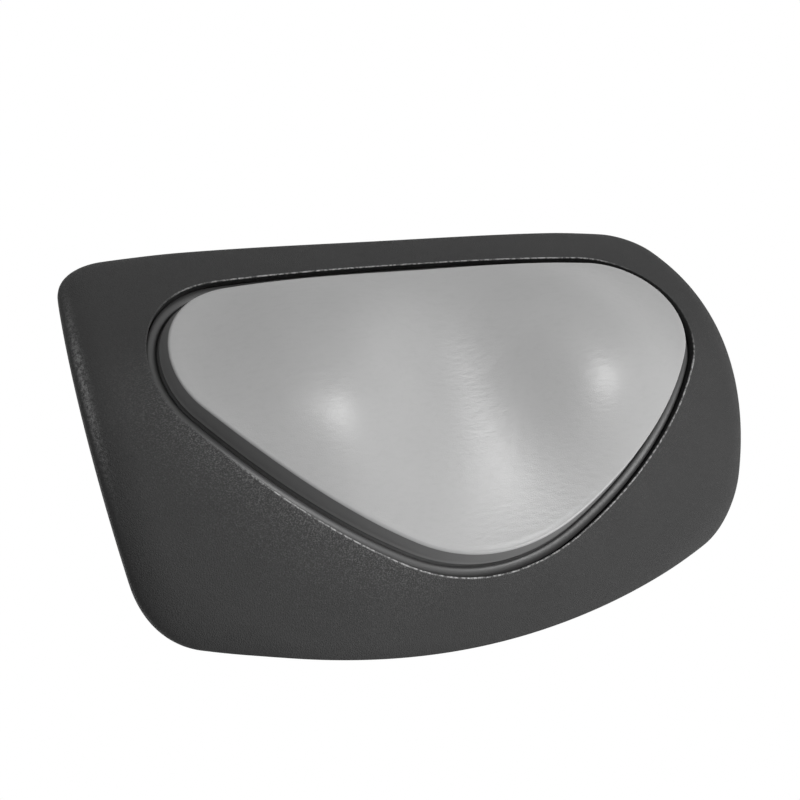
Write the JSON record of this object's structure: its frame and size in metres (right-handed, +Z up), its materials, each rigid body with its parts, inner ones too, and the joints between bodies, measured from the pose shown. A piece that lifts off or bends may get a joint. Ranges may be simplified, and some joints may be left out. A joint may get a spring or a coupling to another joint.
{
  "type": "chair headrest attachment",
  "caption": "Wide bow-fronted headrest with a raised lobed cushion in a grooved foam surround, tilting on a friction hinge and sliding up a bolt-on rail held by a clamp knob.",
  "frame": {"origin": "middle of the rail's four bolt holes, on the face that meets the chair", "axes": "+X to the right as seen from in front of the headrest, +Y back into the chair along the bolts, +Z up along the slide"},
  "size_m": [0.301, 0.1078, 0.187],
  "materials": {
    "foam_skin": "soft foam with a fine-grained matt skin",
    "cushion_cover": "light grey leatherette with a fine grain",
    "bead": "satin",
    "tray_plastic": "moulded, matt",
    "core_plastic": "moulded, matt",
    "shell_plastic": "moulded, fine texture",
    "zinc_steel": "zinc plated",
    "bright_steel": "turned, bright",
    "spring_steel": "blued",
    "brass": "turned",
    "black_paint": "satin powder coat",
    "fibre": "pressed fibre",
    "carriage_plastic": "moulded, fine texture",
    "acetal": "smooth",
    "die_cast": "die cast, blasted",
    "knob_plastic": "moulded, fine texture",
    "rail_metal": "extruded, anodised",
    "cap_plastic": "moulded, matt"
  },
  "bodies": {
    "rail": {"mount_rail": "rail_metal", "rail_end_caps": "cap_plastic", "cap_screws": "zinc_steel"},
    "carriage": {"carriage": "carriage_plastic", "glide_liners": "acetal", "tilt_knuckle": "die_cast", "knuckle_screws": "zinc_steel", "knuckle_bushes": "acetal", "nut_bush": "brass"},
    "clamp": {"clamp_pad": "brass"},
    "knob": {"clamp_spindle": "bright_steel", "clamp_knob": "knob_plastic"},
    "head": {"pad_surround": "foam_skin", "cushion_insert": "cushion_cover", "welt_bead": "bead", "insert_tray": "tray_plastic", "push_nuts": "zinc_steel", "core_plate": "core_plastic", "threaded_inserts": "brass", "rear_shell": "shell_plastic", "shell_screws": "zinc_steel", "hinge_bracket": "black_paint", "bracket_screws": "zinc_steel", "pivot_shaft": "bright_steel", "friction_washers": "fibre", "disc_springs": "spring_steel", "lock_nut": "bright_steel"}
  },
  "joints": [
    {"name": "height_slide", "type": "slide", "parent": "rail", "child": "carriage", "axis": [0, 0, 1], "range_m": [0, 0.036]},
    {"name": "head_tilt", "type": "hinge", "parent": "carriage", "child": "head", "pos_m": [0, -0.0502, -0.018], "axis": [1, 0, 0], "range_deg": [-20, 25]},
    {"name": "clamp_travel", "type": "slide", "parent": "carriage", "child": "clamp", "axis": [1, 0, 0], "range_m": [0, 0.00075]},
    {"name": "knob_turn", "type": "hinge", "parent": "clamp", "child": "knob", "pos_m": [0, -0.012, -0.018], "axis": [1, 0, 0], "range_deg": [0, 270]}
  ],
  "couplings": [
    {"joint": "knob_turn", "follows": "clamp_travel", "rad_per_m": 6283.2}
  ]
}
